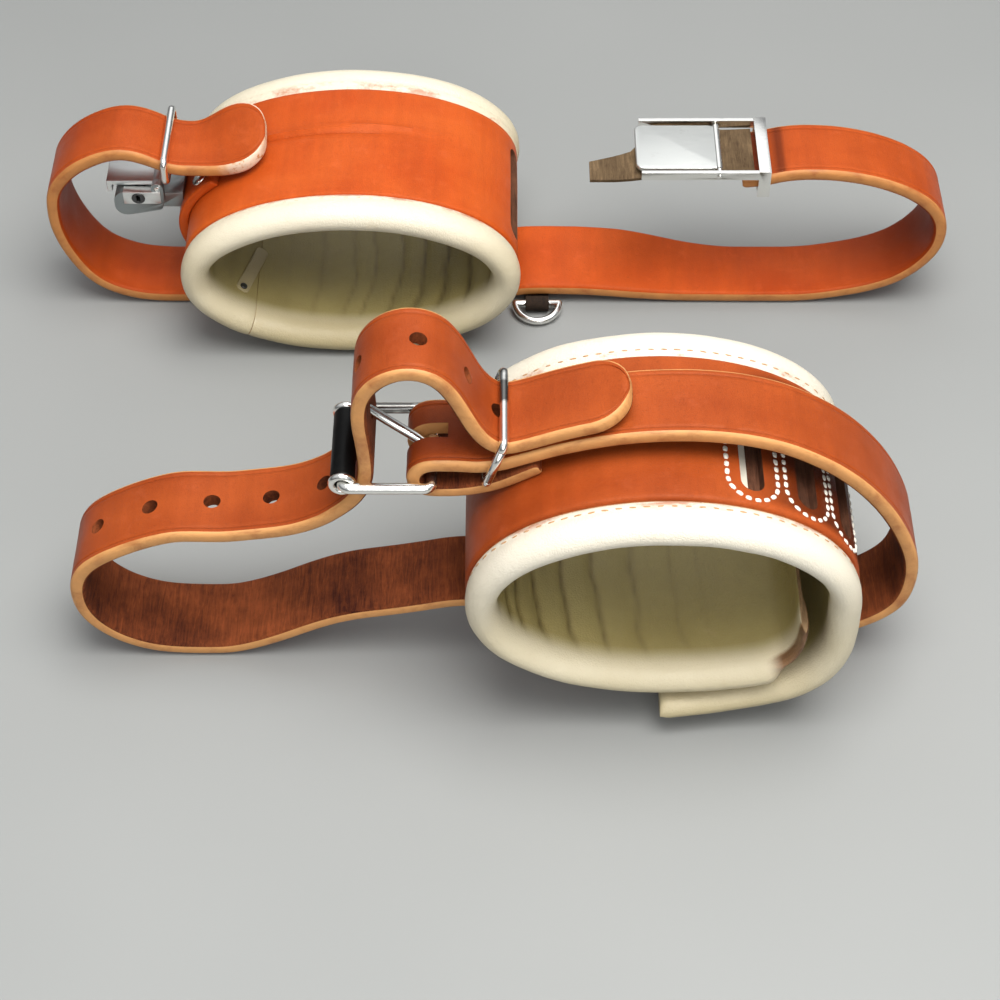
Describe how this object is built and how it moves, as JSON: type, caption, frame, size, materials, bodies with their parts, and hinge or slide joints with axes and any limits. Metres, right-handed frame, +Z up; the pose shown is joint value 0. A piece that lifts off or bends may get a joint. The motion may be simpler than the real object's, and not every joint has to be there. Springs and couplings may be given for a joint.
{
  "type": "padded leather limb cuffs",
  "caption": "Padded leather limb cuffs on their sides, each with a long leather strap: one with a roller buckle, one with a clamp buckle and a lock.",
  "frame": {"origin": "on the floor under the middle of the whole layout", "axes": "+X along the long straps, +Y through the cuffs' openings from the front cuff to the rear one, +Z up"},
  "size_m": [0.3058, 0.236, 0.1228],
  "materials": {
    "lining": "soft, creased, off white",
    "felt": "pressed felt",
    "body_leather": "smooth orange tan grain, oiled",
    "strap_leather": "smooth orange tan grain, tan cut edges, brown flesh side",
    "brown_leather": "brown flesh side",
    "nickel": "bright nickel plate",
    "black_steel": "blacked steel, satin",
    "lock_steel": "satin steel"
  },
  "bodies": {
    "front_cuff": {"front_lining": "lining", "front_felt_pad": "felt", "front_rim_near": "lining", "front_rim_far": "lining", "front_body_leather": "body_leather", "front_slot_backing": "brown_leather", "front_strap": "strap_leather", "front_strap_rivets": "nickel"},
    "rear_cuff": {"rear_lining": "lining", "rear_felt_pad": "felt", "rear_rim_near": "lining", "rear_rim_far": "lining", "rear_body_leather": "body_leather", "rear_slot_backing": "brown_leather", "rear_strap": "strap_leather", "rear_strap_rivets": "nickel", "rear_lock_chape": "brown_leather", "rear_lock_rivets": "nickel", "rear_lock_body": "lock_steel", "rear_lock_pin": "nickel", "rear_clamp_frame": "nickel", "rear_clamp_pin": "nickel", "rear_clamp_tab": "brown_leather", "rear_d_ring_chape": "strap_leather"},
    "front_buckle": {"front_buckle_frame": "nickel"},
    "front_roller": {"front_buckle_roller": "black_steel"},
    "front_tongue": {"front_buckle_tongue": "nickel"},
    "front_wire_keeper": {"front_keeper": "nickel"},
    "rear_wire_keeper": {"rear_keeper": "nickel"},
    "lock_hasp": {"rear_lock_hasp": "nickel"},
    "lock_plug": {"rear_lock_plug": "lock_steel"},
    "clamp_lever": {"rear_clamp_lever": "nickel"},
    "d_ring": {"rear_d_ring": "nickel"}
  },
  "joints": [
    {"name": "rear_cuff_lift", "type": "slide", "parent": "front_cuff", "child": "rear_cuff", "axis": [0, 0, 1], "range_m": [0, 0.15]},
    {"name": "front_buckle_tilt", "type": "hinge", "parent": "front_cuff", "child": "front_buckle", "pos_m": [-0.019, -0.078, 0.0795], "axis": [0, 1, 0], "range_deg": [0, 8]},
    {"name": "front_roller_spin", "type": "hinge", "parent": "front_buckle", "child": "front_roller", "pos_m": [-0.044, -0.078, 0.0795], "axis": [0, 1, 0], "continuous": true},
    {"name": "front_tongue_swing", "type": "hinge", "parent": "front_buckle", "child": "front_tongue", "pos_m": [-0.019, -0.078, 0.0795], "axis": [0, 1, 0], "range_deg": [0, 40]},
    {"name": "front_keeper_shift", "type": "slide", "parent": "front_cuff", "child": "front_wire_keeper", "axis": [1, 0, 0], "range_m": [-0.0012, 0.0012]},
    {"name": "rear_keeper_shift", "type": "slide", "parent": "rear_cuff", "child": "rear_wire_keeper", "axis": [1, 0, 0], "range_m": [-0.001, 0.001]},
    {"name": "lock_hasp_lift", "type": "hinge", "parent": "rear_cuff", "child": "lock_hasp", "pos_m": [-0.1154, 0.078, 0.0493], "axis": [0, 1, 0], "range_deg": [0, 45]},
    {"name": "lock_plug_turn", "type": "hinge", "parent": "rear_cuff", "child": "lock_plug", "pos_m": [-0.122, 0.0685, 0.0457], "axis": [0, 1, 0], "range_deg": [0, 90]},
    {"name": "clamp_lever_lift", "type": "hinge", "parent": "rear_cuff", "child": "clamp_lever", "pos_m": [0.073, 0.078, 0.0589], "axis": [0, 1, 0], "range_deg": [0, 100]},
    {"name": "d_ring_swing", "type": "hinge", "parent": "rear_cuff", "child": "d_ring", "pos_m": [0.013, 0.0618, 0.00295], "axis": [-1, 0, 0], "range_deg": [0, 80]}
  ]
}
